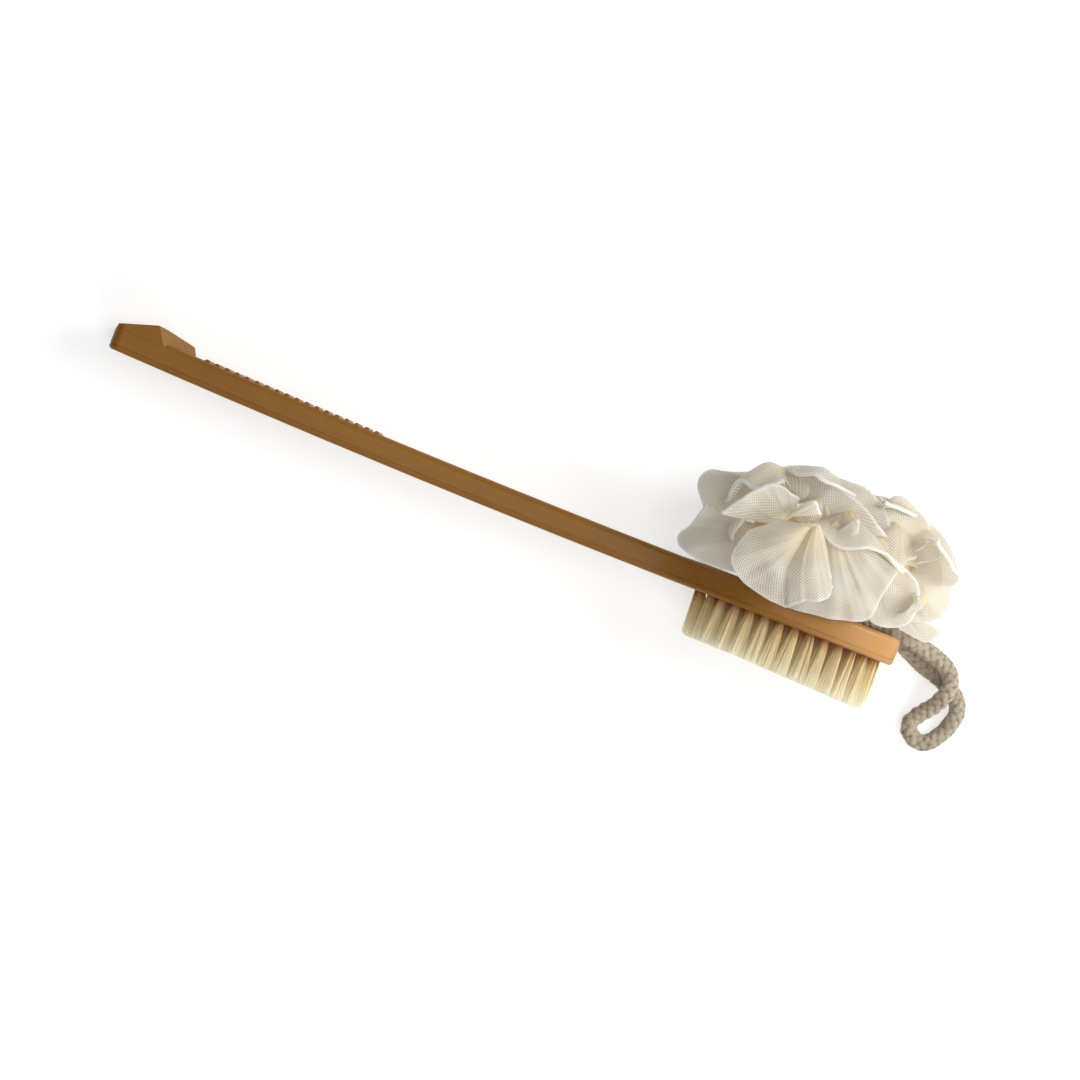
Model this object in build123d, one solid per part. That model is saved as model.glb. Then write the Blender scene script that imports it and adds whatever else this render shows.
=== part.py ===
from build123d import *
import os
from math import atan2, cos, degrees, pi, radians, sin, tan

# Two-sided bath brush: a slim moulded handle whose oval head carries dry bristles on one
# face and a gathered net pouf on the other, with a loop of thick braided rope.
# All sizes are in millimetres.
#
# Modelling frame: X runs from the butt of the handle (0) to the tip of the head,
# Y from the bristle face of the head (0) towards the pouf, Z across the width.
# Everything is then laid on its side on the ground plane, as described in lay_down().

# Handle
LENGTH = 400.0             # butt end to the tip of the head
HANDLE_THICK = 12.5        # handle thickness, bristle side to pouf side
BUTT_HALF_WIDTH = 12.0
NECK_HALF_WIDTH = 10.5
NECK_START = 276.0         # where the handle begins to widen into the head
BEND_END = 290.0           # the handle bends gently from here to the butt
BEND_RADIUS = 7000.0
BUTT_CORNER = 5.0          # rounding of the butt in plan
COVER_THICK = 2.4          # thin cover that closes the shell from the bristle side
WALL = 1.8
TOP_ROUND = 2.6            # rounding of the upper edge of the shell
COVER_ROUND = 1.8          # rounding of the lower edge of the cover
WEB_THICK = 1.2            # stiffening webs moulded inside the hollow handle
WEB_PITCH = 24.0
SEAM_GROOVE = 0.35         # height and depth of the fine step along the joint with the cover
SPARE = 5.0                # by which tool bodies stand past the brush at both ends
TOOL_REACH = 60.0          # half-width of tool bodies, wider than the head
INSIDE_EASE = 1.0          # by which the webs run into the shell's walls
TOLERANCE = 0.1            # for picking edges by their place
ABOVE = (Align.CENTER, Align.CENTER, Align.MIN)

# Thumb stop and grip ribs near the butt
STOP_START = 1.0
STOP_PEAK = (20.0, 6.7)    # position along the handle, height above it
STOP_EDGE = (37.2, 4.0)
STOP_END = 39.4
STOP_ROUND = 0.5           # rounding of the stop's edges
PROW_NORMAL = (0.535, 0.334, 0.776)
RIB_COUNT = 18
RIB_PITCH = 5.15
RIB_FIRST = 47.0
RIB_HEIGHT = 1.0
RIB_RADIUS = 1.3
RIB_HALF_LENGTH = 9.6

# Head
HEAD_THICK = 13.0
HEAD_HALF_LENGTH = 52.0
HEAD_HALF_WIDTH = 32.0
HEAD_CENTRE = LENGTH - HEAD_HALF_LENGTH
HEAD_FULL_THICK_FROM = 302.0
NECK_JOIN_ANGLE = 134.0    # where the neck's flare meets the oval, from the tip

# Bristles
BRISTLE_CENTRE = 347.5
BRISTLE_LENGTH = 22.0      # length of the tufts on the butt side
BRISTLE_LENGTH_AT_TIP = 25.0
BRISTLE_RISE_FROM = 330.0  # the tufts grow longer from here to the tip of the head
FLARE_END = 0.7            # share of its length over which a tuft opens
HOLE_RADIUS = 1.6
HOLE_DEPTH = 6.5
TUFT_ROOT_RADIUS = 1.5
TUFT_TIP_RADIUS = 3.05
TUFT_ROOT_DEPTH = 5.0
BLOCK_TOP = 7.6            # top of the thick bristle block inside the head
BLOCK_PLAY = 0.2           # between the block and the shell's wall
# half-length, half-width and number of tufts of each oval ring, outside first
BRISTLE_RINGS = [(45.0, 25.0, 30), (37.5, 17.5, 24), (30.0, 10.0, 17)]
MIDDLE_ROW = (22.2, 7)     # half-length and number of tufts
STAPLE_SIZE = (2.8, 0.9, 0.5)

# Pouf: three gathered lengths of net, one above the other.
# bottom and top height, centre X, half-length, half-width
POUF_LAYERS = [
    (22.0, 39.0, 354.0, 66.0, 58.0),
    (39.0, 56.0, 352.0, 64.0, 57.0),
    (56.0, 72.0, 354.0, 52.0, 47.0),
]
POUF_OFFSET = 10.0         # the pouf bulges towards the upper side once laid down
POUF_ROUND = 7.0
TIE_SLOT = (20.0, 7.0)     # opening in the middle of the net, for the tie cord

# Cord that ties the pouf to the head through two holes
TIE_RADIUS = 1.25
TIE_HOLE_RADIUS = 1.6
TIE_X = (338.0, 350.0)
TIE_LOW = 9.2
TIE_HIGH = 50.0
TIE_CORNERS = [1.6, 1.6, 4.0, 4.0]

# Knot of the hanging rope, between the head and the pouf
KNOT_X = (331.0, 357.0)
KNOT_Y = (13.2, 21.4)
KNOT_HALF_WIDTH = 10.0
KNOT_CORNER = 2.0
KNOT_EDGE = 0.8
KNOT_PLAY = 0.2            # round the tie cord

# Hanging rope: a loop of thick braided cord, lying on the ground.
# Route in the finished frame: X along the handle, Y towards the pouf, Z up.
ROPE_DIAMETER = 8.0
BEND_SHARE = 0.45          # share of a run that the bend at each of its ends may take
ROPE_ROUTE = [
    (147.7, -6.2, 28.4),
    (157.7, -6.2, 29.0),
    (168.0, -6.2, 25.0),
    (178.0, -6.3, 18.0),
    (188.0, -7.9, 10.2),
    (196.0, -12.7, 6.2),
    (205.5, -17.1, 4.1),
    (213.7, -19.6, 4.1),
    (221.2, -21.8, 4.1),
    (228.3, -26.2, 4.1),
    (231.6, -32.7, 4.1),
    (230.3, -39.9, 4.1),
    (227.4, -46.2, 4.1),
    (223.6, -51.7, 4.1),
    (218.2, -53.1, 4.1),
    (213.4, -50.6, 4.1),
    (211.3, -45.2, 4.2),
    (214.1, -40.7, 5.0),
    (217.7, -36.3, 7.2),
    (220.6, -30.9, 10.6),
    (222.7, -24.6, 12.9),
    (221.4, -18.2, 12.9),
    (216.4, -13.8, 12.8),
    (209.5, -11.3, 13.4),
    (201.7, -9.7, 15.4),
    (193.6, -8.1, 18.0),
    (187.0, -6.9, 21.0),
    (178.0, -6.2, 27.0),
    (168.0, -6.2, 33.8),
    (157.2, -6.2, 37.4),
    (147.2, -6.2, 36.8),
]


def underside(x):
    """Height of the bristle side of the handle, which bends gently towards the butt."""
    return max(BEND_END - x, 0.0) ** 2 / (2 * BEND_RADIUS)


def side_edge(height, head_height):
    """Long edge of the side view, at one height above the handle's underside."""
    middle = (BEND_END - SPARE) / 2
    bend = [(x, underside(x) + height) for x in (-SPARE, middle, BEND_END)]
    points = [bend[2], (HEAD_FULL_THICK_FROM, head_height), (LENGTH + SPARE, head_height)]
    return [ThreePointArc(*bend), Line(points[0], points[1]), Line(points[1], points[2])]


def side_slab(low, high, head_high):
    """Slab with the side view between two heights, wider and longer than the brush."""
    lower = side_edge(low, low)
    upper = side_edge(high, head_high)
    ends = [
        Line((-SPARE, underside(-SPARE) + low), (-SPARE, underside(-SPARE) + high)),
        Line((LENGTH + SPARE, low), (LENGTH + SPARE, head_high)),
    ]
    return extrude(make_face(lower + upper + ends), amount=TOOL_REACH, both=True)


def plan_column(inset):
    """Column with the plan view of handle and head, drawn in by inset."""
    long, wide = HEAD_HALF_LENGTH - inset, HEAD_HALF_WIDTH - inset
    butt = BUTT_HALF_WIDTH - inset
    neck = NECK_HALF_WIDTH - inset
    turn = radians(NECK_JOIN_ANGLE)
    join = (HEAD_CENTRE + long * cos(turn), wide * sin(turn))
    leave = (long * sin(turn), -wide * cos(turn))
    edges = []
    for side in (1, -1):
        edges.append(Line((inset, 0), (inset, side * butt)))
        edges.append(Line((inset, side * butt), (NECK_START, side * neck)))
        slope = (NECK_START, neck - butt)
        flare = [(NECK_START, side * neck), (join[0], side * join[1])]
        tangents = [(slope[0], side * slope[1]), (leave[0], side * leave[1])]
        edges.append(Spline(*flare, tangents=tangents))
        edges.append(Line((join[0], side * join[1]), (join[0], 0)))
    outline = make_face(edges) + Pos(HEAD_CENTRE, 0) * Ellipse(long, wide)
    corners = outline.vertices().group_by(Axis.X)[0]
    outline = fillet(corners, BUTT_CORNER - inset / 2)
    return extrude(Plane.XZ * outline, amount=TOOL_REACH, both=True)


def top_of_handle(x):
    return underside(x) + HANDLE_THICK


def rim_edges(part, height):
    """Edges of the outline at one height above the handle's underside."""
    reach = HEAD_THICK - HANDLE_THICK + TOLERANCE

    def on_rim(edge):
        return all(abs(end.Y - underside(end.X) - height) < reach for end in (edge @ 0, edge @ 1))

    def runs_across(edge):
        return abs((edge @ 0).X - (edge @ 1).X) < TOLERANCE < abs((edge @ 0).X)

    return part.edges().filter_by(on_rim).filter_by(runs_across, reverse=True)


def make_thumb_stop(outside):
    """Block on top of the butt, with two slanting faces that meet in a nose."""
    points = [
        (STOP_START, top_of_handle(STOP_START)),
        (STOP_PEAK[0], top_of_handle(STOP_PEAK[0]) + STOP_PEAK[1]),
        (STOP_EDGE[0], top_of_handle(STOP_EDGE[0]) + STOP_EDGE[1]),
        (STOP_END, top_of_handle(STOP_END)),
        (STOP_END, top_of_handle(STOP_END) - WALL),
        (STOP_START, top_of_handle(STOP_START) - WALL),
    ]
    block = extrude(make_face(Polyline(*points, close=True)), amount=TOOL_REACH, both=True)
    for side in (1, -1):
        corner = (STOP_PEAK[0], top_of_handle(STOP_PEAK[0]) + STOP_PEAK[1], side * BUTT_HALF_WIDTH)
        normal = (PROW_NORMAL[0], PROW_NORMAL[1], side * PROW_NORMAL[2])
        wedge = Box(2 * TOOL_REACH, 2 * TOOL_REACH, TOOL_REACH, align=ABOVE)
        block -= Plane(origin=corner, z_dir=normal) * wedge


    def is_upper(edge):
        return all(end.Y > top_of_handle(end.X) + STOP_ROUND for end in (edge @ 0, edge @ 1))

    block = block & outside
    return fillet(block.edges().filter_by(is_upper), STOP_ROUND)


def make_grip_ribs():
    """Low rounded bars across the top of the grip."""
    ribs = []
    for index in range(RIB_COUNT):
        x = RIB_FIRST + index * RIB_PITCH
        centre = top_of_handle(x) + RIB_HEIGHT - RIB_RADIUS
        ribs.append(Pos(x, centre, 0) * Cylinder(RIB_RADIUS, 2 * RIB_HALF_LENGTH))
    return ribs


def make_handle_shell():
    """Hollow moulded handle and head, open towards the bristle side."""
    outside = plan_column(0.0)
    shell = side_slab(COVER_THICK, HANDLE_THICK, HEAD_THICK) & outside
    shell = fillet(rim_edges(shell, HANDLE_THICK), TOP_ROUND)
    seam_top = COVER_THICK + SEAM_GROOVE
    below = COVER_THICK - INSIDE_EASE
    shell -= side_slab(below, seam_top, seam_top) - plan_column(SEAM_GROOVE)
    shell -= side_slab(below, HANDLE_THICK - WALL, HEAD_THICK - WALL) & plan_column(WALL)
    inner = side_slab(COVER_THICK, HANDLE_THICK - INSIDE_EASE, HEAD_THICK - INSIDE_EASE)
    inner = inner & plan_column(INSIDE_EASE)
    for index in range(int(NECK_START / WEB_PITCH)):
        place = Pos((index + 1) * WEB_PITCH, 0, 0)
        shell += place * Box(WEB_THICK, 2 * TOOL_REACH, 2 * TOOL_REACH) & inner
    shell += make_thumb_stop(outside)
    shell += make_grip_ribs()
    for x in TIE_X:
        shell -= Pos(x, HEAD_THICK, 0) * Rot(90, 0, 0) * Cylinder(TIE_HOLE_RADIUS, HEAD_THICK)
    return shell


def tuft_places():
    """Places of the tufts, in one list for each ring and one for the middle row."""
    rings = []
    for half_length, half_width, count in BRISTLE_RINGS:
        oval = Ellipse(half_length, half_width).edge()
        spots = oval.positions([index / count for index in range(count)])
        rings.append([(BRISTLE_CENTRE + spot.X, spot.Y) for spot in spots])
    half_length, count = MIDDLE_ROW
    step = 2 * half_length / (count - 1)
    rings.append([(BRISTLE_CENTRE - half_length + index * step, 0.0) for index in range(count)])
    return rings


def make_base_cover(rings):
    """Thin cover under the handle, thickened in the head to hold the tufts."""
    cover = side_slab(0.0, COVER_THICK, COVER_THICK) & plan_column(0.0)
    cover = fillet(rim_edges(cover, 0.0), COVER_ROUND)
    inset = WALL + BLOCK_PLAY
    oval = Ellipse(HEAD_HALF_LENGTH - inset, HEAD_HALF_WIDTH - inset)
    block = Plane.XZ.offset(-COVER_THICK / 2) * Pos(HEAD_CENTRE, 0) * oval
    cover += extrude(block, amount=COVER_THICK / 2 - BLOCK_TOP)
    holes = [
        Pos(x, 0, z) * Rot(90, 0, 0) * Cylinder(HOLE_RADIUS, 2 * HOLE_DEPTH)
        for ring in rings
        for x, z in ring
    ]
    return cover - holes


def bristle_length(x):
    """Trimmed length of the tuft at one place along the head."""
    rise = max(x - BRISTLE_RISE_FROM, 0.0) / (LENGTH - BRISTLE_RISE_FROM)
    return BRISTLE_LENGTH + rise * (BRISTLE_LENGTH_AT_TIP - BRISTLE_LENGTH)


def make_tuft(length):
    """One tuft: a straight root in its hole, then a bundle that opens towards the tips."""
    profile = Polyline(
        (0, TUFT_ROOT_DEPTH),
        (TUFT_ROOT_RADIUS, TUFT_ROOT_DEPTH),
        (TUFT_ROOT_RADIUS, 0),
        (TUFT_TIP_RADIUS, -FLARE_END * length),
        (TUFT_TIP_RADIUS, -length),
        (0, -length),
        close=True,
    )
    return revolve(make_face(profile), Axis.Y)


def make_pouf_layer(low, high, centre, half_length, half_width):
    """One gathered length of net, as a soft rounded disc with an opening for the tie."""
    disc = Plane.XZ * Pos(centre, POUF_OFFSET) * Ellipse(half_length, half_width)
    disc = Pos(0, low, 0) * extrude(disc, amount=low - high)
    rims = disc.edges().filter_by(GeomType.ELLIPSE)
    disc = fillet(rims, POUF_ROUND)
    if low < TIE_HIGH:
        middle = (TIE_X[0] + TIE_X[1]) / 2
        opening = Box(TIE_SLOT[0], 2 * (high - low), TIE_SLOT[1])
        disc -= Pos(middle, (low + high) / 2, 0) * opening
    return disc


def make_tie_cord():
    """Closed loop of thin cord through the head and round the gathered net."""
    corners = [(TIE_X[0], TIE_LOW), (TIE_X[1], TIE_LOW), (TIE_X[1], TIE_HIGH), (TIE_X[0], TIE_HIGH)]
    path = FilletPolyline(*corners, radius=TIE_CORNERS, close=True)
    section = Plane(origin=path @ 0, z_dir=path % 0) * Circle(TIE_RADIUS)
    return sweep(section, path=path)


def make_rope_knot():
    """Knot where both ends of the hanging rope are tied round the tie cord."""
    knot = Pos(sum(KNOT_X) / 2, sum(KNOT_Y) / 2, 0) * Box(
        KNOT_X[1] - KNOT_X[0], KNOT_Y[1] - KNOT_Y[0], 2 * KNOT_HALF_WIDTH
    )
    knot = fillet(knot.edges().filter_by(Axis.Y), KNOT_CORNER)
    knot = fillet(knot.edges().group_by(Axis.Y)[0] + knot.edges().group_by(Axis.Y)[-1], KNOT_EDGE)
    for x in TIE_X:
        passage = Cylinder(TIE_RADIUS + KNOT_PLAY, 4 * (KNOT_Y[1] - KNOT_Y[0]))
        knot -= Pos(x, KNOT_Y[0], 0) * Rot(90, 0, 0) * passage
    return knot


def arc_radii(points):
    """Largest tangent arc at each corner of a route, from the shorter run beside it."""
    radii = []
    for before, corner, after in zip(points, points[1:], points[2:]):
        run_in, run_out = corner - before, after - corner
        half_turn = radians(run_in.get_angle(run_out)) / 2
        radii.append(BEND_SHARE * min(run_in.length, run_out.length) / tan(half_turn))
    return radii


def make_hanging_rope():
    """The free loop of rope, from the knot round on the ground and back."""
    points = [Vector(*point) for point in ROPE_ROUTE]
    radii = arc_radii(points)
    path = FilletPolyline(*points, radius=radii)
    section = Plane(origin=path @ 0, z_dir=path % 0) * Circle(ROPE_DIAMETER / 2)
    rope = sweep(section, path=path)
    expected = path.length * pi * ROPE_DIAMETER ** 2 / 4
    print("rope radii", [round(radius, 1) for radius in radii])
    print("rope length", round(path.length, 1), "volume ratio", round(rope.volume / expected, 4))
    return rope


def lay_down(parts, soft_names):
    """Lay the brush on its side, on the head, the butt and the flattened pouf.

    The handle is narrower than the head, so it tilts until both touch the ground.
    The pouf gives way and is flat where it meets the ground. The origin then goes
    to the middle of the bottom of the box round all parts.
    """
    tilt = degrees(atan2(HEAD_HALF_WIDTH - BUTT_HALF_WIDTH, HEAD_CENTRE))
    turned = {name: Rot(0, -tilt, 0) * part for name, part in parts.items()}
    ground = turned["handle_shell"].bounding_box().min.Z
    room = Pos(LENGTH / 2, 0, ground) * Box(2 * LENGTH, LENGTH, LENGTH, align=ABOVE)
    for name in soft_names:
        turned[name] = turned[name] & room
    box = Compound(list(turned.values())).bounding_box()
    shift = Pos(-box.center().X, -box.center().Y, -ground)
    print("tilt", round(tilt, 3), "shift", shift.position)
    return {name: shift * part for name, part in turned.items()}


def build():
    rings = tuft_places()
    names = [f"ring_{index + 1}" for index in range(len(BRISTLE_RINGS))] + ["middle_row"]
    parts = {"handle_shell": make_handle_shell(), "base_cover": make_base_cover(rings)}
    staple = Pos(0, HOLE_DEPTH - STAPLE_SIZE[1] / 2, 0) * Box(*STAPLE_SIZE)
    for name, ring in zip(names, rings):
        tufts = [Pos(x, 0, z) * make_tuft(bristle_length(x)) for x, z in ring]
        parts["bristles_" + name] = Compound(tufts)
        parts["staples_" + name] = Compound([Pos(x, 0, z) * staple for x, z in ring])
    nets = []
    for index, layer in enumerate(POUF_LAYERS):
        nets.append(f"pouf_net_{index + 1}")
        parts[nets[-1]] = make_pouf_layer(*layer)
    parts["pouf_tie_cord"] = make_tie_cord()
    parts["rope_knot"] = make_rope_knot()
    parts = lay_down(parts, nets)
    parts["hanging_rope"] = make_hanging_rope()
    return parts


os.makedirs("parts", exist_ok=True)
for node, part in build().items():
    export_step(part, f"parts/{node}.step")
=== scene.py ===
import math

import bpy
import numpy as np
from mathutils import Matrix, Vector


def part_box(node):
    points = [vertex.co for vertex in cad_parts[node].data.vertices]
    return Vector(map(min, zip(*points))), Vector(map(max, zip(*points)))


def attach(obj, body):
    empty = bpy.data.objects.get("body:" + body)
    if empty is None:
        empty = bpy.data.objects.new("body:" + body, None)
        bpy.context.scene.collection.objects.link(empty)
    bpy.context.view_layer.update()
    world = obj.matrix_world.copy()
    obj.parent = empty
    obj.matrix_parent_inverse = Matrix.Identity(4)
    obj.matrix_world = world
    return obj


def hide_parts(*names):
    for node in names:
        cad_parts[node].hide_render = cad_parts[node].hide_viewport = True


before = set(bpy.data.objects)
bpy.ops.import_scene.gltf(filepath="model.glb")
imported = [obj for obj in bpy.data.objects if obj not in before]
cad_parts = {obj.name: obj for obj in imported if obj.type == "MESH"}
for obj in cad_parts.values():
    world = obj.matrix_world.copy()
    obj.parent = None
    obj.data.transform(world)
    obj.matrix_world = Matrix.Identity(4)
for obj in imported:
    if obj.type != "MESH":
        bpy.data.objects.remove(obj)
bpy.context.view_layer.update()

MM = 0.001
BODY = "root"

# ---------------------------------------------------------------- driving values
SEED = 11
ROPE_DIAMETER = 8.0 * MM
ROPE_ROUTE_MM = [
    (147.7, -6.2, 28.4),
    (157.7, -6.2, 29.0),
    (168.0, -6.2, 25.0),
    (178.0, -6.3, 18.0),
    (188.0, -7.9, 10.2),
    (196.0, -12.7, 6.2),
    (205.5, -17.1, 4.1),
    (213.7, -19.6, 4.1),
    (221.2, -21.8, 4.1),
    (228.3, -26.2, 4.1),
    (231.6, -32.7, 4.1),
    (230.3, -39.9, 4.1),
    (227.4, -46.2, 4.1),
    (223.6, -51.7, 4.1),
    (218.2, -53.1, 4.1),
    (213.4, -50.6, 4.1),
    (211.3, -45.2, 4.2),
    (214.1, -40.7, 5.0),
    (217.7, -36.3, 7.2),
    (220.6, -30.9, 10.6),
    (222.7, -24.6, 12.9),
    (221.4, -18.2, 12.9),
    (216.4, -13.8, 12.8),
    (209.5, -11.3, 13.4),
    (201.7, -9.7, 15.4),
    (193.6, -8.1, 18.0),
    (187.0, -6.9, 21.0),
    (178.0, -6.2, 27.0),
    (168.0, -6.2, 33.8),
    (157.2, -6.2, 37.4),
    (147.2, -6.2, 36.8),
]
BRAID_LAY = 18.0 * MM      # in which a strand goes once round the rope
STRANDS_EACH_WAY = 4
STRAND_SIDES = 10
# all against the rope's radius
STRAND_CENTRE = 0.60
STRAND_LIFT = 0.11
STRAND_WANDER = 0.04
STRAND_HALF_WIDTH = 0.47
STRAND_HALF_THICKNESS = 0.36
BRAID_CORE = 0.62
FLOOR_GAP = 0.05 * MM      # below the lowest strand

BRISTLE_NODES = ["bristles_ring_1", "bristles_ring_2", "bristles_ring_3", "bristles_middle_row"]
FILAMENTS = 130            # in one tuft
FILAMENT_ROWS = 5
FILAMENT_SIDES = 3
ROOT_DEPTH = 1.5 * MM      # of the bristles, below the face of the head
BRISTLE_LENGTHS = 22.0 * MM, 25.0 * MM      # on the butt side, and at the tip of the head
BRISTLE_RISE_FROM = 119.0 * MM              # the bristles grow longer between these places
BRISTLE_RISE_TO = 189.0 * MM
BRISTLE_LEAN = 3.5 * MM    # of the end tufts, towards the middle of the brush
END_TUFTS = 14 * MM        # how far from the ends of a row the tufts lean
BRISTLE_CORNER = 5.0 * MM  # how much shorter the outermost bristles are at both ends
NET_PITCH = 1.55           # of the net's threads along one side of a cell, in millimetres

POUF_MIDDLE = np.array([143.0, 20.0, 48.0]) * MM

# ---------------------------------------------------------------- small helpers


def smooth(low, high, x):
    """Smooth step from 0 at low to 1 at high."""
    t = np.clip((x - low) / (high - low), 0.0, 1.0)
    return t * t * (3 - 2 * t)


def mesh_object(name, points, faces, material, uv=None, values=None):
    """A smooth-shaded mesh from arrays. uv is one pair per point, values are point attributes."""
    mesh = bpy.data.meshes.new(name)
    points = np.asarray(points, float)
    faces = np.asarray(faces, int)
    sides = faces.shape[1]
    mesh.vertices.add(len(points))
    mesh.vertices.foreach_set("co", points.ravel())
    mesh.loops.add(faces.size)
    mesh.loops.foreach_set("vertex_index", faces.ravel())
    mesh.polygons.add(len(faces))
    mesh.polygons.foreach_set("loop_start", np.arange(len(faces)) * sides)
    mesh.update(calc_edges=True)
    mesh.shade_smooth()
    if uv is not None:
        layer = mesh.uv_layers.new(name="UVMap")
        layer.data.foreach_set("uv", np.asarray(uv, float)[faces.ravel()].ravel())
    for key, numbers in (values or {}).items():
        attribute = mesh.attributes.new(key, "FLOAT", "POINT")
        attribute.data.foreach_set("value", np.asarray(numbers, float).ravel())
    mesh.materials.append(material)
    piece = bpy.data.objects.new(name, mesh)
    bpy.context.scene.collection.objects.link(piece)
    return piece


def grid_faces(rows, columns, first=0, closed=False):
    """Quads of a grid of points, row by row. closed joins the last column to the first."""
    row, column = np.meshgrid(
        np.arange(rows - 1), np.arange(columns if closed else columns - 1), indexing="ij"
    )
    following = (column + 1) % columns
    quads = [row * columns + column, row * columns + following]
    quads += [(row + 1) * columns + following, (row + 1) * columns + column]
    return first + np.stack([quad.ravel() for quad in quads], axis=1)


def new_material(name):
    """A material with its node tree, principled shader and output."""
    material = bpy.data.materials.new(name)
    material.use_nodes = True
    tree = material.node_tree
    return material, tree, tree.nodes["Principled BSDF"], tree.nodes["Material Output"]


def add_node(tree, kind, settings=None, **inputs):
    """A node with settings, and its inputs linked to sockets or set to values by name."""
    made = tree.nodes.new(kind)
    for key, value in (settings or {}).items():
        setattr(made, key, value)
    for key, value in inputs.items():
        socket = made.inputs[int(key[1:])] if key[1:].isdigit() else made.inputs[key.replace("_", " ")]
        if isinstance(value, bpy.types.NodeSocket):
            tree.links.new(value, socket)
        else:
            socket.default_value = value
    return made


def math_node(tree, operation, first, second=0.0, third=0.0):
    """A math node's result."""
    made = add_node(tree, "ShaderNodeMath", {"operation": operation}, i0=first, i1=second, i2=third)
    return made.outputs[0]


def ramp(tree, factor, stops):
    """A colour ramp through (position, colour) stops."""
    made = add_node(tree, "ShaderNodeValToRGB", i0=factor)
    elements = made.color_ramp.elements
    for index, (position, colour) in enumerate(stops):
        element = elements[index] if index < 2 else elements.new(position)
        element.position = position
        element.color = (*colour, 1.0)
    return made.outputs["Color"]


def spread(tree, value, low, high):
    """A 0 to 1 value spread over low to high."""
    made = add_node(tree, "ShaderNodeMapRange", i0=value, i3=low, i4=high)
    return made.outputs[0]


# ---------------------------------------------------------------- materials


def moulded_plastic(name, dark, light, painted_tip_highlight):
    """Tan moulded plastic: slow colour drift, a painted highlight paler towards the tip, fine grain, worn
    patches of roughness.
    """
    material, tree, shader, _ = new_material(name)
    place = add_node(tree, "ShaderNodeTexCoord").outputs["Object"]
    drift = add_node(tree, "ShaderNodeTexNoise", Vector=place, Scale=28.0, Detail=5.0, Roughness=0.6)
    stretched = add_node(tree, "ShaderNodeMapping", Vector=place, Scale=(14.0, 120.0, 120.0))
    streak = add_node(tree, "ShaderNodeTexNoise", Vector=stretched.outputs[0], Scale=6.0, Detail=6.0)
    mixed = math_node(tree, "MULTIPLY_ADD", streak.outputs["Fac"], 0.45, 0.0)
    mixed = math_node(tree, "MULTIPLY_ADD", drift.outputs["Fac"], 0.55, mixed)
    body = add_node(tree, "ShaderNodeMix", {"data_type": "RGBA"})
    # painted highlight: the colour pales towards the tip of the head, where the key light glances off it
    reach = add_node(tree, "ShaderNodeSeparateXYZ", Vector=place).outputs[0]
    tip_highlight_mask = add_node(
        tree, "ShaderNodeMapRange", {"interpolation_type": "SMOOTHSTEP"}, i0=reach, i1=0.135, i2=0.195,
    )
    tree.links.new(math_node(tree, "MULTIPLY", tip_highlight_mask.outputs[0], 0.8), body.inputs["Factor"])
    tree.links.new(ramp(tree, mixed, [(0.3, dark), (0.7, light)]), body.inputs["A"])
    body.inputs["B"].default_value = (*painted_tip_highlight, 1.0)
    tree.links.new(body.outputs["Result"], shader.inputs["Base Color"])
    rub = add_node(tree, "ShaderNodeTexNoise", Vector=place, Scale=90.0, Detail=3.0)
    tree.links.new(spread(tree, rub.outputs["Fac"], 0.36, 0.5), shader.inputs["Roughness"])
    grain = add_node(tree, "ShaderNodeTexNoise", Vector=place, Scale=2600.0, Detail=2.0)
    bump = add_node(tree, "ShaderNodeBump", Strength=0.16, Distance=0.0002, Height=grain.outputs["Fac"])
    tree.links.new(bump.outputs[0], shader.inputs["Normal"])
    shader.inputs["Specular IOR Level"].default_value = 0.38
    return material


def bristle_material():
    """Cream bristle, with painted shade darker at the root, paler at the flagged tip, each one its own
    tint.
    """
    material, tree, shader, output = new_material("bristle_cream")
    along = add_node(tree, "ShaderNodeAttribute", {"attribute_name": "along"}).outputs["Fac"]
    tint = add_node(tree, "ShaderNodeAttribute", {"attribute_name": "tint"}).outputs["Fac"]
    # painted shade: the orange-brown at the root stands for the shade between the crowded roots of the
    # tufts
    stops = [(0.0, (0.86, 0.52, 0.15)), (0.3, (0.98, 0.89, 0.62)), (1.0, (1.0, 0.99, 0.92))]
    body = ramp(tree, along, stops)
    shade = add_node(tree, "ShaderNodeMix", {"data_type": "RGBA", "blend_type": "MULTIPLY"})
    shade.inputs["Factor"].default_value = 0.7
    tree.links.new(body, shade.inputs["A"])
    stops = [(0.0, (0.94, 0.88, 0.68)), (0.5, (1.0, 0.98, 0.91)), (1.0, (1.0, 1.0, 1.0))]
    tones = ramp(tree, tint, stops)
    tree.links.new(tones, shade.inputs["B"])
    tree.links.new(shade.outputs["Result"], shader.inputs["Base Color"])
    tree.links.new(spread(tree, tint, 0.35, 0.6), shader.inputs["Roughness"])
    shader.inputs["Sheen Weight"].default_value = 0.25
    # a faint glow towards the tips stands for the light scattered inside the hair
    tree.links.new(shade.outputs["Result"], shader.inputs["Emission Color"])
    tree.links.new(spread(tree, along, 0.0, 0.13), shader.inputs["Emission Strength"])
    through = add_node(tree, "ShaderNodeBsdfTranslucent", Color=shade.outputs["Result"])
    mixed = add_node(tree, "ShaderNodeMixShader", i0=0.6, i1=shader.outputs[0], i2=through.outputs[0])
    tree.links.new(mixed.outputs[0], output.inputs["Surface"])
    return material


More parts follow.
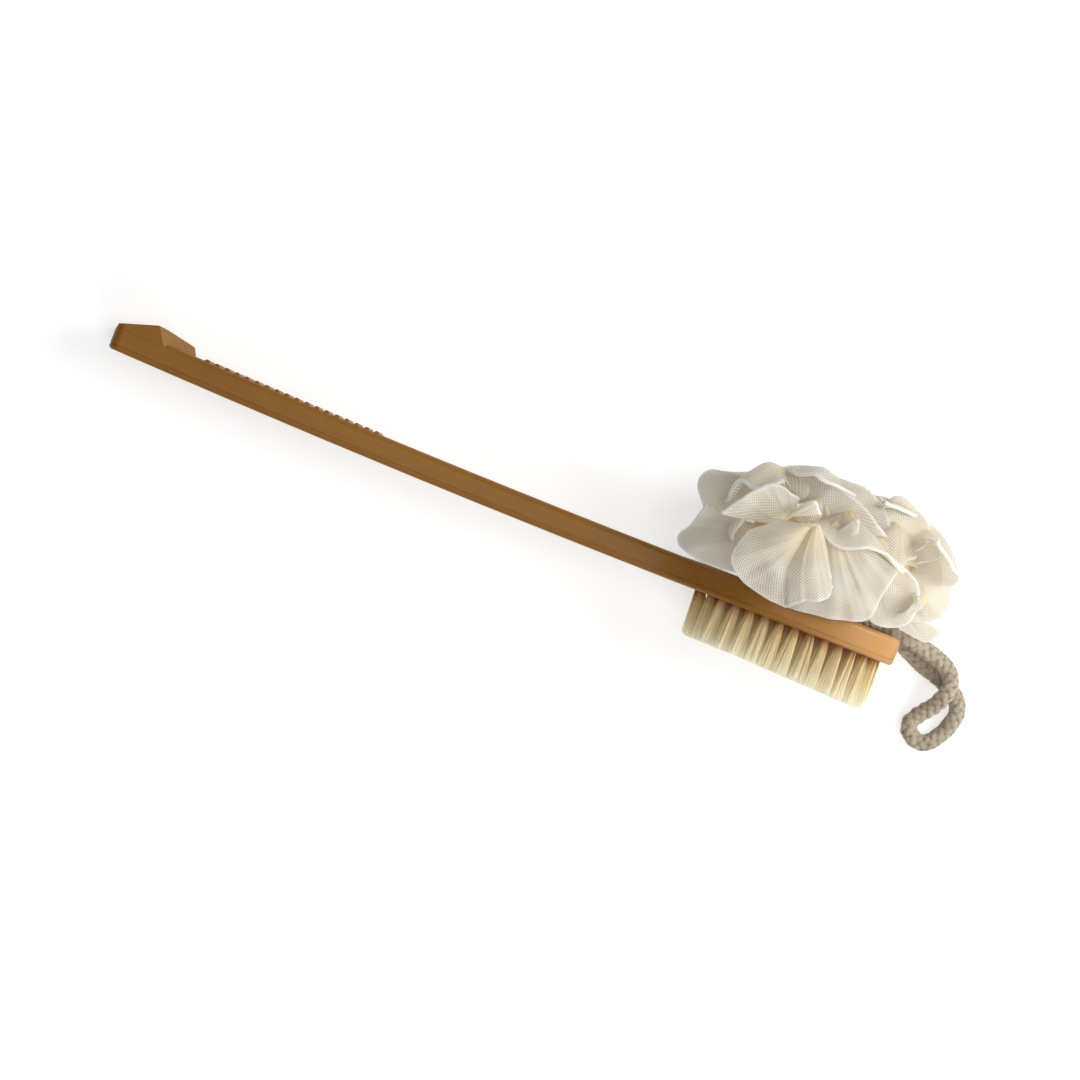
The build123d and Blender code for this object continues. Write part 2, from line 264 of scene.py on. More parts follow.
def yarn_material(name, pale, dull):
    """Cotton yarn: twisted fibres, fluffy, uneven in colour, with painted shade darker between the
    strands.
    """
    material, tree, shader, _ = new_material(name)
    uv = add_node(tree, "ShaderNodeUVMap").outputs[0]
    place = add_node(tree, "ShaderNodeTexCoord").outputs["Object"]
    twist = add_node(tree, "ShaderNodeMapping", Vector=uv, Rotation=(0, 0, 0.6), Scale=(5.0, 1.4, 1.0))
    fibres = add_node(
        tree, "ShaderNodeTexWave", {"wave_type": "BANDS"},
        Vector=twist.outputs[0], Scale=1.0, Distortion=3.0, Detail=3.0,
    )
    fluff = add_node(tree, "ShaderNodeTexNoise", Vector=place, Scale=1400.0, Detail=4.0, Roughness=0.7)
    soil = add_node(tree, "ShaderNodeTexNoise", Vector=place, Scale=120.0, Detail=3.0)
    tone = math_node(tree, "MULTIPLY_ADD", fibres.outputs["Fac"], 0.35, 0.0)
    tone = math_node(tree, "MULTIPLY_ADD", soil.outputs["Fac"], 0.65, tone)
    # painted shade: the groove attribute darkens the inner sides of the strands and the core towards dark
    # brown
    groove = add_node(tree, "ShaderNodeAttribute", {"attribute_name": "groove"}).outputs["Fac"]
    painted_groove_shade = add_node(tree, "ShaderNodeMix", {"data_type": "RGBA", "blend_type": "MULTIPLY"})
    tree.links.new(math_node(tree, "POWER", groove, 1.3), painted_groove_shade.inputs["Factor"])
    tree.links.new(ramp(tree, tone, [(0.25, dull), (0.65, pale)]), painted_groove_shade.inputs["A"])
    painted_groove_shade.inputs["B"].default_value = (0.24, 0.18, 0.11, 1.0)
    tree.links.new(painted_groove_shade.outputs["Result"], shader.inputs["Base Color"])
    height = math_node(tree, "MULTIPLY_ADD", fluff.outputs["Fac"], 0.7, fibres.outputs["Fac"])
    bump = add_node(tree, "ShaderNodeBump", Strength=0.7, Distance=0.0003, Height=height)
    tree.links.new(bump.outputs[0], shader.inputs["Normal"])
    tree.links.new(spread(tree, fluff.outputs["Fac"], 0.75, 0.95), shader.inputs["Roughness"])
    shader.inputs["Sheen Weight"].default_value = 0.3
    return material


def net_material():
    """Fine ivory net: crossing threads, open cells, a closed hem painted pale as a highlight, and denser
    roots with painted warm shade.
    """
    material, tree, shader, output = new_material("pouf_net")
    uv = add_node(tree, "ShaderNodeUVMap").outputs[0]
    place = add_node(tree, "ShaderNodeTexCoord").outputs["Object"]
    wobble = add_node(tree, "ShaderNodeTexNoise", Vector=place, Scale=140.0, Detail=2.0)
    axes = add_node(tree, "ShaderNodeSeparateXYZ", Vector=uv)
    threads = []
    for sign in (1.0, -1.0):
        slant = math_node(tree, "MULTIPLY_ADD", axes.outputs[0], sign, axes.outputs[1])
        slant = math_node(tree, "MULTIPLY_ADD", wobble.outputs["Fac"], 1.2, slant)
        wave = math_node(tree, "SINE", math_node(tree, "MULTIPLY", slant, math.pi / NET_PITCH))
        threads.append(math_node(tree, "ABSOLUTE", wave))
    nearest = math_node(tree, "MINIMUM", threads[0], threads[1])
    open_cell = add_node(
        tree, "ShaderNodeMapRange", {"interpolation_type": "SMOOTHSTEP"}, i0=nearest, i1=0.34, i2=0.72,
    )
    dense = add_node(tree, "ShaderNodeAttribute", {"attribute_name": "dense"}).outputs["Fac"]
    rim = add_node(tree, "ShaderNodeAttribute", {"attribute_name": "rim"}).outputs["Fac"]
    deep = add_node(tree, "ShaderNodeAttribute", {"attribute_name": "deep"}).outputs["Fac"]
    closed = math_node(tree, "MAXIMUM", dense, rim)
    cover = math_node(tree, "MULTIPLY", open_cell.outputs[0], math_node(tree, "SUBTRACT", 1.0, closed))
    cover = math_node(tree, "MULTIPLY_ADD", cover, -0.62, 1.0)
    cloud = add_node(tree, "ShaderNodeTexNoise", Vector=place, Scale=45.0, Detail=4.0)
    tones = ramp(tree, cloud.outputs["Fac"], [(0.3, (0.82, 0.77, 0.66)), (0.7, (0.87, 0.845, 0.775))])
    # painted shade: the deep parts, petal roots and gathered core, are tinted warm yellow for the dim
    # light inside the pouf
    painted_hollow_shade = add_node(tree, "ShaderNodeMix", {"data_type": "RGBA"})
    tree.links.new(math_node(tree, "MULTIPLY", deep, 0.75), painted_hollow_shade.inputs["Factor"])
    tree.links.new(tones, painted_hollow_shade.inputs["A"])
    painted_hollow_shade.inputs["B"].default_value = (0.87, 0.75, 0.47, 1.0)
    # painted highlight: the folded hem is painted paler; its opacity comes from closed above
    hem = add_node(tree, "ShaderNodeMix", {"data_type": "RGBA"})
    tree.links.new(rim, hem.inputs["Factor"])
    tree.links.new(painted_hollow_shade.outputs["Result"], hem.inputs["A"])
    hem.inputs["B"].default_value = (0.93, 0.925, 0.90, 1.0)
    tones = hem.outputs["Result"]
    tree.links.new(tones, shader.inputs["Base Color"])
    tree.links.new(spread(tree, cloud.outputs["Fac"], 0.42, 0.6), shader.inputs["Roughness"])
    bump = add_node(tree, "ShaderNodeBump", Strength=0.25, Distance=0.0003, Height=cover)
    tree.links.new(bump.outputs[0], shader.inputs["Normal"])
    shader.inputs["Sheen Weight"].default_value = 0.35
    through = add_node(tree, "ShaderNodeBsdfTranslucent", Color=tones)
    cloth = add_node(tree, "ShaderNodeMixShader", i0=0.5, i1=shader.outputs[0], i2=through.outputs[0])
    clear = add_node(tree, "ShaderNodeBsdfTransparent")
    final = add_node(tree, "ShaderNodeMixShader", i0=cover, i1=clear.outputs[0], i2=cloth.outputs[0])
    tree.links.new(final.outputs[0], output.inputs["Surface"])
    return material


def metal_material():
    """Drawn wire of the tuft anchors."""
    material, tree, shader, _ = new_material("anchor_wire")
    place = add_node(tree, "ShaderNodeTexCoord").outputs["Object"]
    drawn = add_node(tree, "ShaderNodeMapping", Vector=place, Scale=(200.0, 4000.0, 4000.0))
    lines = add_node(tree, "ShaderNodeTexNoise", Vector=drawn.outputs[0], Scale=1.0, Detail=3.0)
    tree.links.new(spread(tree, lines.outputs["Fac"], 0.25, 0.5), shader.inputs["Roughness"])
    tones = ramp(tree, lines.outputs["Fac"], [(0.3, (0.45, 0.45, 0.46)), (0.7, (0.68, 0.68, 0.69))])
    tree.links.new(tones, shader.inputs["Base Color"])
    shader.inputs["Metallic"].default_value = 1.0
    return material


def floor_material():
    """Plain white paper floor."""
    material, tree, shader, _ = new_material("floor_white")
    place = add_node(tree, "ShaderNodeTexCoord").outputs["Object"]
    tooth = add_node(tree, "ShaderNodeTexNoise", Vector=place, Scale=300.0, Detail=3.0)
    tones = ramp(tree, tooth.outputs["Fac"], [(0.0, (0.55, 0.55, 0.55)), (1.0, (0.58, 0.58, 0.58))])
    tree.links.new(tones, shader.inputs["Base Color"])
    shader.inputs["Roughness"].default_value = 0.9
    shader.inputs["Emission Color"].default_value = (1.0, 1.0, 1.0, 1.0)
    shader.inputs["Emission Strength"].default_value = 0.60
    return material


# ---------------------------------------------------------------- rope


def route_line(name, points):
    """Points along the smooth curve of a route."""
    curve = bpy.data.curves.new(name, "CURVE")
    curve.dimensions = "3D"
    curve.resolution_u = 16
    spline = curve.splines.new("NURBS")
    spline.points.add(len(points) - 1)
    for point, place in zip(spline.points, points):
        point.co = (*place, 1.0)
    spline.order_u = 3
    spline.use_endpoint_u = True
    holder = bpy.data.objects.new(name, curve)
    line = bpy.data.meshes.new_from_object(holder)
    places = np.array([vertex.co for vertex in line.vertices])
    bpy.data.objects.remove(holder)
    bpy.data.meshes.remove(line)
    bpy.data.curves.remove(curve)
    return places


def even_points(points, step):
    """The same line with points an even step apart."""
    run = np.concatenate([[0.0], np.cumsum(np.linalg.norm(np.diff(points, axis=0), axis=1))])
    places = np.linspace(0.0, run[-1], int(round(run[-1] / step)) + 1)
    return np.stack([np.interp(places, run, points[:, axis]) for axis in range(3)], axis=1), places


def carried_frames(points):
    """Two normals at each point, turned as little as possible from one point to the next."""
    tangents = np.gradient(points, axis=0)
    tangents /= np.linalg.norm(tangents, axis=1)[:, None]
    side = np.cross(tangents[0], (0.0, 0.0, 1.0))
    sides = []
    for tangent in tangents:
        side = side - tangent * np.dot(side, tangent)
        side = side / np.linalg.norm(side)
        sides.append(side)
    sides = np.array(sides)
    return sides, np.cross(tangents, sides)


def strand_tube(centres, wide, thick, outwards, run, around):
    """Points, faces and UVs of a tube with an oval section that faces outwards."""
    tangents = np.gradient(centres, axis=0)
    tangents /= np.linalg.norm(tangents, axis=1)[:, None]
    across = np.cross(tangents, outwards)
    across /= np.linalg.norm(across, axis=1)[:, None]
    out = np.cross(across, tangents)
    angles = np.linspace(0, 2 * math.pi, around, endpoint=False)
    ring = [wide * math.cos(a) * across + thick * math.sin(a) * out for a in angles]
    points = centres[:, None, :] + np.stack(ring, axis=1)
    turn = np.tile(angles / (2 * math.pi), (len(centres), 1))
    uv = np.stack([turn, np.tile((run / MM)[:, None], (1, around))], axis=2)
    return points.reshape(-1, 3), grid_faces(len(centres), around, closed=True), uv.reshape(-1, 2)


def braided_rope(name, line, material):
    """Eight-strand braid along a line: four strands turn each way, over and under in turn."""
    points, run = even_points(line, 0.45 * MM)
    sides, ups = carried_frames(points)
    radius = ROPE_DIAMETER / 2
    wide = STRAND_HALF_WIDTH * radius
    thick = STRAND_HALF_THICKNESS * radius
    core_radius = BRAID_CORE * radius
    groups = [], [], []
    grooves = []
    rng = np.random.default_rng(SEED)
    for way in (1, -1):
        for strand in range(STRANDS_EACH_WAY):
            turn = way * 2 * math.pi * run / BRAID_LAY + strand * math.pi / 2
            lift = STRAND_LIFT * radius * way * np.cos(4 * 2 * math.pi * run / BRAID_LAY)
            wander = STRAND_WANDER * radius * np.sin(run / MM * 0.9 + rng.uniform(0, 6))
            out = np.cos(turn)[:, None] * sides + np.sin(turn)[:, None] * ups
            centres = points + (STRAND_CENTRE * radius + lift + wander)[:, None] * out
            groups_add(groups, strand_tube(centres, wide, thick, out, run, STRAND_SIDES))
            # groove is 1 on the inner half of each strand, where the yarn material paints shade
            facing = np.sin(np.linspace(0, 2 * math.pi, STRAND_SIDES, endpoint=False))
            grooves.append(np.tile(1 - np.clip(facing, 0, 1), len(centres)))
    core = strand_tube(points, core_radius, core_radius, sides, run, 12)
    groups_add(groups, core)
    # the core lies wholly under the painted shade
    grooves.append(np.ones(len(core[0])))
    for block in groups[0]:
        block[:, 2] = np.maximum(block[:, 2], FLOOR_GAP)
    return mesh_object(name, *joined(groups, material), {"groove": np.concatenate(grooves)}), points


def groups_add(groups, made):
    """Collects points, faces and UVs of one more part of a mesh."""
    points, faces, uv = made
    first = sum(len(block) for block in groups[0])
    groups[0].append(points)
    groups[1].append(faces + first)
    groups[2].append(uv)


def joined(groups, material):
    """The collected points, faces, material and UVs, as mesh_object() takes them."""
    return np.concatenate(groups[0]), np.concatenate(groups[1]), material, np.concatenate(groups[2])


def build_rope(material):
    """The hanging rope, as a braid along its route."""
    line = route_line("rope_route", [tuple(c * MM for c in point) for point in ROPE_ROUTE_MM])
    rope, points = braided_rope("hanging_rope_braid", line, material)
    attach(rope, BODY)
    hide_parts("hanging_rope")


# ---------------------------------------------------------------- bristles


def tuft_places(node):
    """Middle of each tuft of a CAD ring, from the flat ends of the tuft roots."""
    points = np.array([v.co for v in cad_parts[node].data.vertices])
    ends = points[points[:, 1] > points[:, 1].max() - 0.1 * MM]
    places = []
    while len(ends):
        near = np.linalg.norm(ends - ends[0], axis=1) < 3.3 * MM
        places.append(ends[near].mean(axis=0))
        ends = ends[~near]
    return np.array(places)


def filament_block(places, root_y, rng):
    """Thin tapering filaments of all tufts at once, each a short three-sided tube."""
    count = len(places) * FILAMENTS
    middle = np.repeat(places[:, [0, 2]], FILAMENTS, axis=0)
    spread_out = np.sqrt(rng.uniform(0, 1, count))
    angle = rng.uniform(0, 2 * math.pi, count)
    heading = np.stack([np.cos(angle), np.sin(angle)], axis=1)
    lean = np.repeat(rng.normal(0, 0.35 * MM, (len(places), 2)), FILAMENTS, axis=0)
    stray = rng.normal(0, 0.35 * MM, (count, 2))
    stray *= np.where(rng.uniform(0, 1, count) < 0.06, 3.0, 1.0)[:, None]
    root = middle + heading * (spread_out * 1.5 * MM)[:, None]
    tip = middle + heading * (spread_out ** 0.8 * 3.9 * MM)[:, None] + lean + stray
    along_head = middle[:, 0]
    rise = np.clip((along_head - BRISTLE_RISE_FROM) / (BRISTLE_RISE_TO - BRISTLE_RISE_FROM), 0, 1)
    length = BRISTLE_LENGTHS[0] + rise * (BRISTLE_LENGTHS[1] - BRISTLE_LENGTHS[0])
    length = length * (1 - np.abs(rng.normal(0, 0.03, count)))
    first, last = middle[:, 0] - places[:, 0].min(), places[:, 0].max() - middle[:, 0]
    at_first = 1 - smooth(0, END_TUFTS, first)
    at_last = 1 - smooth(0, END_TUFTS, last)
    tip[:, 0] += BRISTLE_LEAN * at_first - 0.3 * BRISTLE_LEAN * at_last
    past = np.maximum(places[:, 0].min() - tip[:, 0], tip[:, 0] - places[:, 0].max())
    length = length - BRISTLE_CORNER * smooth(-3.0 * MM, 3.5 * MM, past) ** 2
    tint = np.clip(rng.normal(0.55, 0.25, count), 0, 1)
    rows, around = FILAMENT_ROWS, FILAMENT_SIDES
    thick = rng.uniform(0.13, 0.20, count) * MM
    points = np.zeros((count, rows, around, 3))
    along = np.zeros((count, rows, around))
    for row in range(rows):
        t = row / (rows - 1)
        open_up = t ** 0.7
        centre = root * (1 - open_up) + tip * open_up
        for side in range(around):
            turn = 2 * math.pi * side / around
            size = thick * (1.0 - 0.35 * t)
            points[:, row, side, 0] = centre[:, 0] + size * math.cos(turn)
            points[:, row, side, 2] = centre[:, 1] + size * math.sin(turn)
            points[:, row, side, 1] = root_y + ROOT_DEPTH * (1 - t) - length * t
            along[:, row, side] = t
    one = grid_faces(rows, around, closed=True)
    faces = (one[None] + (np.arange(count) * rows * around)[:, None, None]).reshape(-1, 4)
    return points.reshape(-1, 3), faces, along.ravel(), np.repeat(tint, rows * around)


def build_bristles(material):
    """Hairs in the place of each CAD ring and row of tufts."""
    rng = np.random.default_rng(SEED + 1)
    face_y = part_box("base_cover")[0][1]
    for node in BRISTLE_NODES:
        points, faces, along, tint = filament_block(tuft_places(node), face_y, rng)
        name = node.replace("bristles_", "bristle_tufts_")
        piece = mesh_object(name, points, faces, material, values={"along": along, "tint": tint})
        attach(piece, BODY)
        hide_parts(node)


# ---------------------------------------------------------------- pouf

# Petals that show on top, from the lowest to the nearest, in millimetres: the root, how far
# the petal swells, how far its first and last sides curve in plan, and the few points that
# its hem runs through.
PETALS = {
    "pouf_net_1": [
        ((180, 2, 40), 4, (0, 0), (0, 0), [(190, 0, 34), (206, 0, 28), (202, -7, 28), (188, -6, 36)]),
        ((168, 15, 46), 10, (0, 0), (0, 0), [
            (184, 33, 44), (200, 26, 40), (205, 12, 38), (200, 3, 38), (190, -1, 42)]),
        ((126, 12, 56), 12, (0, 0), (0, 0), [
            (114, -8, 67), (100, -10, 63), (82, -10, 57), (74, -4, 54), (78, 5, 55), (81, 14, 58)]),
        ((157, 17, 58), 8, (0, 0), (0, 0), [
            (162, -2, 66), (172, -8, 62), (185, -5, 57), (189, 4, 58), (184, 16, 64), (169, 21, 70)]),
        ((135, 29, 80), 7, (0, 0), (2, 1), [
            (131, -16, 66), (146, -14, 68), (162, -11, 67), (169, -7, 67), (170, 6, 73), (172, 17, 78)]),
        ((130, 25, 86), 7, (0, 0), (-5, -3), [
            (113, 20, 85), (102, 10, 86), (99, -4, 82), (108, -12, 76), (120, -15, 72), (131, -16, 69)]),
        ((129, 25, 90), 5, (-5, -3), (1, 1), [
            (131, -16, 70), (137, -11, 77), (147, -5, 77), (144, 5, 82)]),
    ],
    "pouf_net_2": [
        ((166, 20, 50), 9, (0, 0), (0, 0), [(176, 47, 46), (190, 42, 43), (192, 32, 44), (178, 24, 58)]),
        ((124, 28, 58), 13, (0, 0), (0, 0), [
            (82, 12, 54), (74, 22, 51), (76, 31, 50), (90, 35, 50), (112, 47, 50)]),
        ((156, 23, 60), 9, (0, 0), (0, 0), [
            (156, 41, 62), (160, 50, 58), (170, 50, 55), (182, 42, 52), (180, 32, 61), (169, 24, 68)]),
        ((119, 24, 74), 4, (1, -3), (0, 0), [(88, 13, 79), (95, 24, 83), (105, 33, 85), (118, 31, 84)]),
    ],
    "pouf_net_3": [
        ((123, 24, 64), 9, (0, 0), (0, 0), [
            (92, 35, 58), (110, 45, 58), (140, 49, 59), (156, 44, 63), (164, 32, 70)]),
        ((124, 22, 62), 7, (0, 0), (0, 0), [(108, 37, 64), (125, 44, 68), (145, 40, 74), (161, 30, 79)]),
        ((138, 33, 70), 5, (0, 0), (0, 0), [(128, 23, 80), (142, 19, 86), (160, 23, 84), (175, 19, 76)]),
        ((144, 17, 80), 1, (0, 0), (0, 0), [(140, 24, 82), (146, 32, 86), (150, 21, 82)]),
        ((115, 22, 84), 2, (0, 0), (0, 0), [(118, 28, 88), (124, 33, 89), (129, 28, 87)]),
    ],
}
# Rings of like petals round the rest of the pouf: how many, where the roots and the hems lie
# from the pouf's own axis (+Y) in degrees, half width in degrees, and reach of the hem.
RINGS = {
    "pouf_net_1": [(10, 95, 118, 26, 0.88)],
    "pouf_net_2": [(9, 55, 88, 30, 0.93)],
    "pouf_net_3": [(7, 20, 54, 38, 0.92), (4, 2, 22, 60, 0.90)],
}
SUNK_ON_TOP = 0.38         # how much lower these petals are where the ones above cover them
CORE_SHARE = 0.60          # size of the tightly gathered middle, against the whole pouf
PETAL_COLUMNS = 72
PETAL_ROWS = 30
ROLL_RADIUS = 0.9 * MM     # of the folded hem
FACES_UP = 0.3             # least upward part of a petal's normal for it to swell upwards
PLEAT_WAVES = (1.3, 2.1, 3.4, 5.3, 8.7)
RIPPLES = 5
TUCK = 7.0 * MM            # how deep the sides of a petal turn in
FOLD_BACK = 0.55           # how far the inner layer of a petal runs back from its hem


def pouf_way(polar, turn):
    """Unit direction at an angle from the pouf's axis (+Y), turned round that axis."""
    return np.array([math.sin(polar) * math.cos(turn), math.cos(polar), math.sin(polar) * math.sin(turn)])


def pouf_reach(direction):
    """Distance from the middle of the pouf to its outer surface, along unit directions."""
    half = np.array([64.0, 30.0, 50.0]) * MM
    power = 2.5
    return ((np.abs(direction) / half) ** power).sum(axis=-1) ** (-1 / power)


def smooth_line(points, count):
    """Points along a Catmull-Rom curve through given points."""
    points = np.asarray(points, float)
    ends = 2 * points[0] - points[1], 2 * points[-1] - points[-2]
    full = np.concatenate([[ends[0]], points, [ends[1]]])
    place = np.linspace(0, len(points) - 1 - 1e-6, count)
    index = place.astype(int)
    t = (place - index)[:, None]
    a, b, c, d = (full[index + shift] for shift in range(4))
    bend = 2 * b + (c - a) * t + (2 * a - 5 * b + 4 * c - d) * t ** 2 + (3 * b - a - 3 * c + d) * t ** 3
    return bend / 2


def petal(root, swell, side_a, side_b, hem, rng, pleat=1.0, tuck=TUCK):
    """One petal of net: a fan from its root to its hem, pleated, with the hem folded back."""
    root = np.asarray(root, float)
    hem = smooth_line(hem, PETAL_COLUMNS)
    s = np.linspace(0, 1, PETAL_COLUMNS)[None, :, None]
    t = np.linspace(0.04, 1, PETAL_ROWS)[:, None, None]
    size = np.linalg.norm(hem - root, axis=1).mean()
    spread_out = hem[-1] - hem[0]
    out = np.cross(spread_out, hem.mean(axis=0) - root)
    out = out / np.linalg.norm(out)
    if abs(out[2]) > FACES_UP:
        out = out * np.sign(out[2] + 1e-9)
    else:
        out = out * np.sign(np.dot(out, root - POUF_MIDDLE))
    sides = np.array([*side_a, 0.0]) * (1 - s) ** 2 + np.array([*side_b, 0.0]) * s ** 2
    arch = np.sin(math.pi * np.clip(t, 0, 1) ** 0.8)
    folds = np.zeros_like(s)
    for wave in PLEAT_WAVES:
        folds = folds + np.sin(2 * math.pi * wave * s + rng.uniform(0, 6.3)) / wave ** 0.8
    weight = t ** 0.9 * (1 - 0.45 * t ** 2)
    tuck = (2 * s - 1) ** 8 * tuck
    surface = root + (hem[None] - root) * t
    rise = swell * MM * (0.35 + 0.65 * np.sin(math.pi * s)) - tuck
    surface = surface + (sides * MM + out * rise) * arch
    surface = surface + out * (0.045 * pleat * size * folds * weight)
    ripple = 0.0
    for _ in range(RIPPLES):
        way = rng.normal(0, 1, 3)
        way = way / np.linalg.norm(way) * rng.uniform(260, 620)
        ripple = ripple + np.sin(surface @ way + rng.uniform(0, 6.3))
    surface = surface + out * (0.35 * MM * ripple[..., None] * t)
    along = np.gradient(surface, axis=0)
    along = along / np.linalg.norm(along, axis=2, keepdims=True)
    across = np.gradient(surface, axis=1)
    across = across / np.linalg.norm(across, axis=2, keepdims=True)
    normal = np.cross(across, along)
    normal = normal / np.linalg.norm(normal, axis=2, keepdims=True)
    normal = normal * np.sign((normal * out).sum(axis=2, keepdims=True).mean())
    turn = [(0.7, 0.3), (1.0, 1.0), (0.7, 1.7)]
    edge = [surface[-1] + ROLL_RADIUS * (a * along[-1] - b * normal[-1]) for a, b in turn]
    last = int(PETAL_ROWS * (1 - FOLD_BACK))
    inner = surface[:last:-1] - 2 * ROLL_RADIUS * normal[:last:-1]
    points = np.concatenate([surface, np.stack(edge), inner])
    steps = np.linalg.norm(np.diff(points, axis=0), axis=2)
    length = np.concatenate([np.zeros((1, PETAL_COLUMNS)), np.cumsum(steps, axis=0)])
    gaps = np.linalg.norm(np.diff(points, axis=1), axis=2)
    width = np.concatenate([np.zeros((len(points), 1)), np.cumsum(gaps, axis=1)], axis=1)
    width = width - width[:, [PETAL_COLUMNS // 2]]
    uv = np.stack([width, length], axis=2) / MM
    t_all = np.concatenate([t[:, 0, 0], np.ones(3), t[:last:-1, 0, 0]])
    dense = np.repeat(1 - smooth(0.12, 0.75, t_all), PETAL_COLUMNS)
    # rim marks the folded hem for its painted highlight; deep marks the root for painted warm shade
    rim = np.repeat(smooth(0.965, 1.0, t_all), PETAL_COLUMNS)
    deep = np.repeat(1 - smooth(0.1, 0.6, t_all), PETAL_COLUMNS)
    return points, uv, dense, rim, deep


def ring_petals(count, root_angle, hem_angle, half_angle, reach, rng):
    """Petals of one ring round the pouf's axis, as arguments for petal()."""
    made = []
    for index in range(count):
        middle = 2 * math.pi * (index + rng.uniform(-0.25, 0.25)) / count
        upward = max(math.sin(middle), 0.0) * math.sin(math.radians(hem_angle))
        sunk = float(smooth(0.3, 0.75, upward))
        half = math.radians(half_angle) * rng.uniform(0.85, 1.25)
        tilt = rng.uniform(-10, 10)
        hem = []
        for share in np.linspace(-1, 1, 7):
            polar = math.radians(hem_angle + tilt * share + rng.uniform(-4, 4) - 16 * share ** 2)
            turn = middle + half * share / max(math.sin(polar), 0.45)
            way = pouf_way(polar, turn)
            length = pouf_reach(way) * reach * (1 - SUNK_ON_TOP * sunk) * rng.uniform(0.94, 1.04)
            hem.append(POUF_MIDDLE + way * length)
        polar = math.radians(root_angle)
        way = pouf_way(polar, middle)
        root = POUF_MIDDLE + way * pouf_reach(way) * 0.72
        swell = rng.uniform(5, 10) * (1 - 0.6 * sunk)
        if not (sunk > 0.5 and hem_angle > 100):
            made.append((root, swell, (0, 0), (0, 0), hem))
    return made


def pouf_core(share, low, high, rng):
    """A crumpled band of tightly gathered net round the middle, between two angles."""
    polar = np.radians(np.linspace(low, high, 50))[:, None]
    turn = np.linspace(0, 2 * math.pi, 180, endpoint=False)[None]
    way = np.stack([
        np.sin(polar) * np.cos(turn), np.cos(polar) * np.ones_like(turn), np.sin(polar) * np.sin(turn)
    ], axis=-1)
    crumple = np.zeros(way.shape[:2])
    for _ in range(14):
        axis = rng.normal(0, 1, 3)
        axis = axis / np.linalg.norm(axis) * rng.uniform(5, 18)
        crumple = crumple + np.sin(way @ axis + rng.uniform(0, 6.3)) / np.linalg.norm(axis) ** 0.5
    distance = pouf_reach(way) * share * (1 + 0.035 * crumple)
    points = POUF_MIDDLE + way * distance[..., None]
    uv = np.stack([turn * np.ones_like(polar) * 40, polar * np.ones_like(turn) * 40], axis=-1)
    dense = np.full(way.shape[0] * way.shape[1], 0.7)
    # the core's deep value, the same as dense, gives it painted warm shade
    return points, uv, dense, dense * 0, dense


def build_pouf(material):
    """Three ruffles, each of a gathered core, a ring or two of petals and the petals on top."""
    rng = np.random.default_rng(SEED + 2)
    bands = {"pouf_net_1": (84, 128), "pouf_net_2": (48, 86), "pouf_net_3": (2, 50)}
    for node, band in bands.items():
        parts = [(pouf_core(CORE_SHARE, *band, rng), True)]
        shown = [
            (np.array(root) * MM, swell, side_a, side_b, np.array(hem) * MM)
            for root, swell, side_a, side_b, hem in PETALS[node]
        ]
        for ring in RINGS[node]:
            for leaf in ring_petals(*ring, rng):
                parts.append((petal(*leaf, rng), False))
        for index, leaf in enumerate(shown):
            points, uv, dense, rim, deep = petal(*leaf, rng, pleat=0.5, tuck=1.0 * MM)
            if not (node == "pouf_net_1" and index >= 5):
                dense = np.maximum(dense, 0.5)
            parts.append(((points, uv, dense, rim, deep * 0.8), False))
        groups = [], [], []
        dense_all, rim_all, deep_all = [], [], []
        for (points, uv, dense, rim, deep), closed in parts:
            points[..., 2] = np.maximum(points[..., 2], rng.uniform(0.3, 1.5) * MM)
            rows, columns = points.shape[:2]
            faces = grid_faces(rows, columns, closed=closed)
            groups_add(groups, (points.reshape(-1, 3), faces, uv.reshape(-1, 2)))
            dense_all.append(dense)
            rim_all.append(rim)
            deep_all.append(deep)
        points, faces, _, uv = joined(groups, material)
        values = {
            "dense": np.concatenate(dense_all),
            "rim": np.concatenate(rim_all),
            "deep": np.concatenate(deep_all),
        }
        piece = mesh_object(node.replace("pouf_net", "pouf_ruffle"), points, faces, material, uv, values)
        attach(piece, BODY)
        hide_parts(node)


# ---------------------------------------------------------------- stage, light and camera


def build_stage():
    """The floor."""
    bpy.ops.mesh.primitive_plane_add(size=8.0, location=(0, 0, 0))
    floor = bpy.context.object
    floor.name = "floor"
    floor.data.materials.append(floor_material())


IMAGE_RIGHT = Vector((0.9317, 0.3633, 0.0))
IMAGE_UP = Vector((-0.3633, 0.9317, 0.0))


def area_light(name, towards, distance, size, power, colour):
    """A soft square light that looks at the origin from a direction."""
    light = bpy.data.lights.new(name, "AREA")
    light.shape = "SQUARE"
    light.size = size
    light.energy = power
    light.color = colour
    holder = bpy.data.objects.new(name, light)
    bpy.context.scene.collection.objects.link(holder)
    towards = Vector(towards).normalized()
    holder.location = towards * distance
    holder.rotation_euler = towards.to_track_quat("Z", "Y").to_euler()


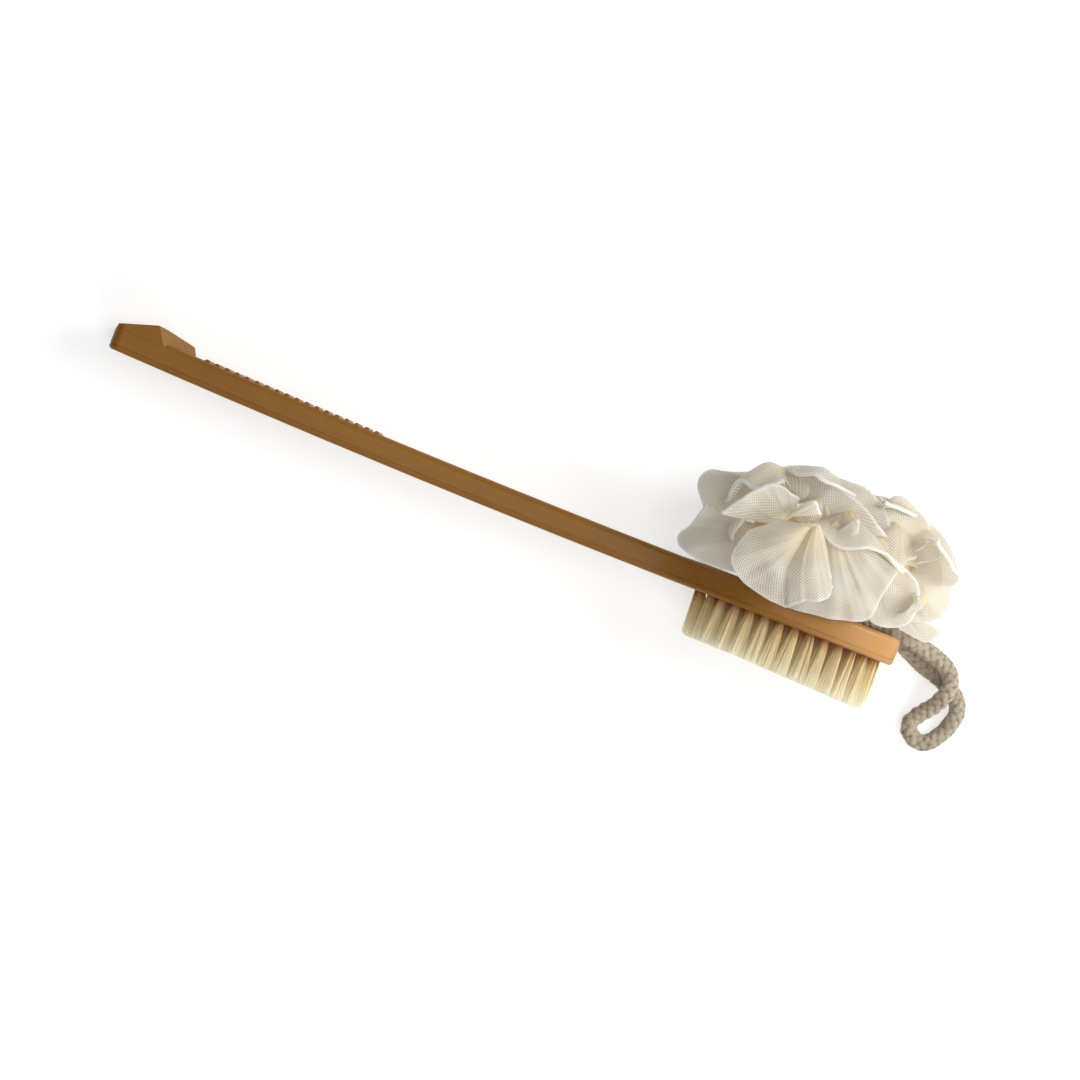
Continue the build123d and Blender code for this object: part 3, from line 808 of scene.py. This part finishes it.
def build_light():
    """A key light from the right, a wide one above, a fill from below in the view, pale world."""
    right, up = IMAGE_RIGHT, IMAGE_UP
    key = right * 0.92 + up * 0.02 + Vector((0, 0, 0.58))
    area_light("key", key, 1.2, 0.7, 12.0, (1.0, 0.99, 0.975))
    area_light("top", Vector((0, 0, 1.0)) + right * 0.1, 2.2, 1.4, 13.0, (1.0, 1.0, 1.0))
    fill = right * 0.3 - up * 0.8 + Vector((0, 0, 0.6))
    area_light("fill", fill, 1.6, 0.8, 9.0, (1.0, 1.0, 1.0))
    world = bpy.context.scene.world or bpy.data.worlds.new("world")
    bpy.context.scene.world = world
    world.use_nodes = True
    world.node_tree.nodes["Background"].inputs["Color"].default_value = (1.0, 1.0, 1.0, 1.0)
    world.node_tree.nodes["Background"].inputs["Strength"].default_value = 0.16
    bpy.context.scene.view_settings.view_transform = "Standard"
    bpy.context.scene.cycles.diffuse_bounces = 8
    bpy.context.scene.cycles.transparent_max_bounces = 24


def build_camera():
    """Straight above, turned so that the handle runs down to the right."""
    view_width = 0.5084
    distance = 1.5
    aim = Vector((14.7 * MM, -28.4 * MM, 33 * MM))
    camera = bpy.data.cameras.new("camera")
    camera.sensor_width = 36.0
    camera.lens = camera.sensor_width * distance / view_width
    holder = bpy.data.objects.new("camera", camera)
    bpy.context.scene.collection.objects.link(holder)
    axes = Matrix((IMAGE_RIGHT, IMAGE_UP, (0, 0, 1))).transposed().to_4x4()
    holder.matrix_world = Matrix.Translation(aim + Vector((0, 0, distance))) @ axes
    bpy.context.scene.camera = holder


def paint(node, material):
    """Gives a CAD node its material."""
    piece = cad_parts[node]
    for holder in piece.material_slots:
        holder.material = material


build_camera()
build_stage()
build_light()
# the third colour is the painted highlight towards the tip of the head
tan = moulded_plastic("handle_tan", (0.235, 0.093, 0.007), (0.295, 0.126, 0.010), (0.50, 0.262, 0.083))
paint("handle_shell", tan)
paint("base_cover", tan)
cotton = yarn_material("rope_cotton", (0.56, 0.49, 0.37), (0.25, 0.185, 0.105))
paint("rope_knot", cotton)
paint("pouf_tie_cord", yarn_material("tie_cotton", (0.88, 0.87, 0.83), (0.74, 0.70, 0.62)))
wire = metal_material()
for name in ("staples_ring_1", "staples_ring_2", "staples_ring_3", "staples_middle_row"):
    paint(name, wire)
build_rope(cotton)
build_bristles(bristle_material())
build_pouf(net_material())
